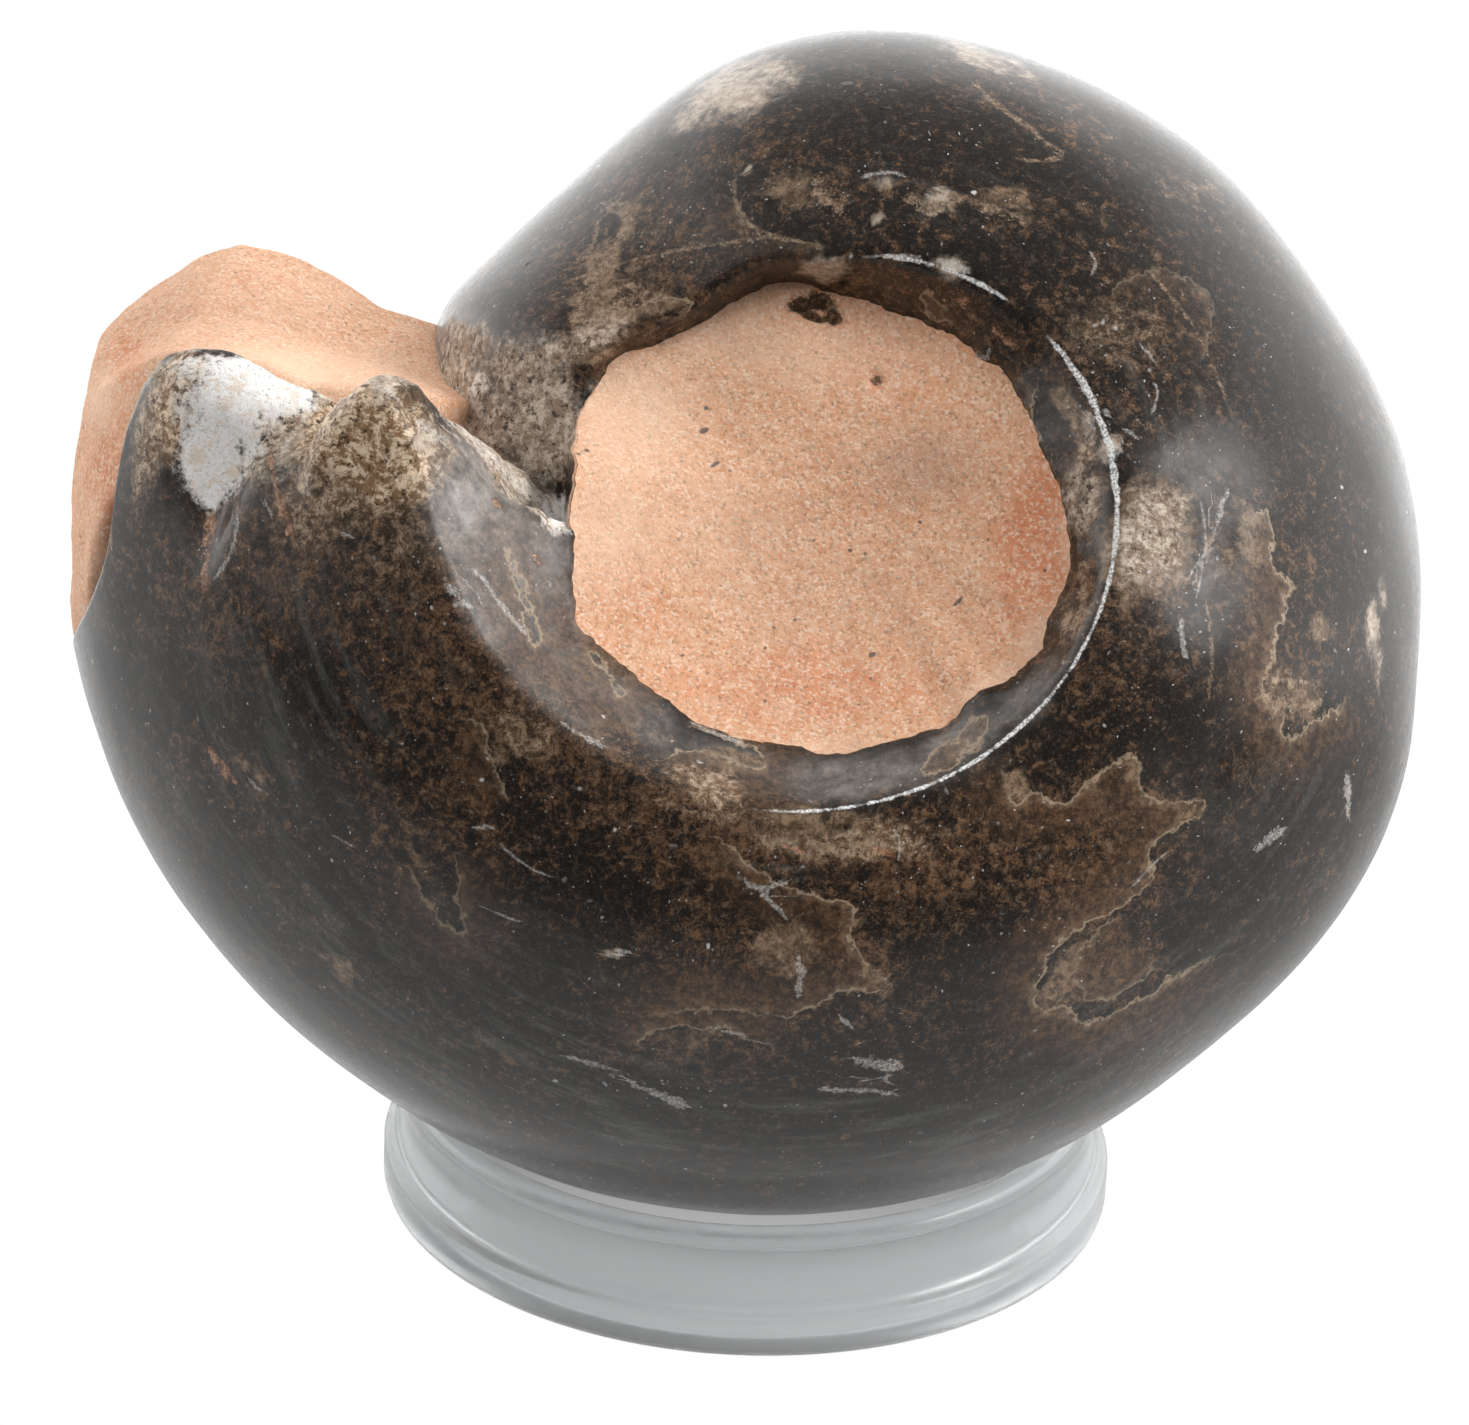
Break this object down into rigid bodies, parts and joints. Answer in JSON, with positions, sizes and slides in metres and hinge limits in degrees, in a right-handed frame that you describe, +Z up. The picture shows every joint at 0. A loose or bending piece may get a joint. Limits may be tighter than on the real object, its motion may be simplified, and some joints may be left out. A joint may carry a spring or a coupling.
{
  "type": "vascoceras ammonite fossil",
  "caption": "Polished dark ammonite with sandstone in its hollows and last chamber, leaning back in a clear ring stand.",
  "frame": {"origin": "middle of the overall footprint, on the surface that the ring stand rests on", "axes": "+Z up, -Y towards the viewer, +X to the viewer's right"},
  "size_m": [0.0802, 0.059, 0.0703],
  "materials": {
    "polished_calcite": "polished dark brown stone with tan and white suture marks",
    "orange_sandstone": "matt orange pink sandstone with fine grain",
    "clear_acrylic": "clear moulded plastic, polished"
  },
  "bodies": {
    "root": {"ammonite_coil": "polished_calcite", "near_sandstone_plug": "orange_sandstone", "far_sandstone_plug": "orange_sandstone", "chamber_sandstone": "orange_sandstone", "ring_stand": "clear_acrylic"}
  },
  "joints": []
}
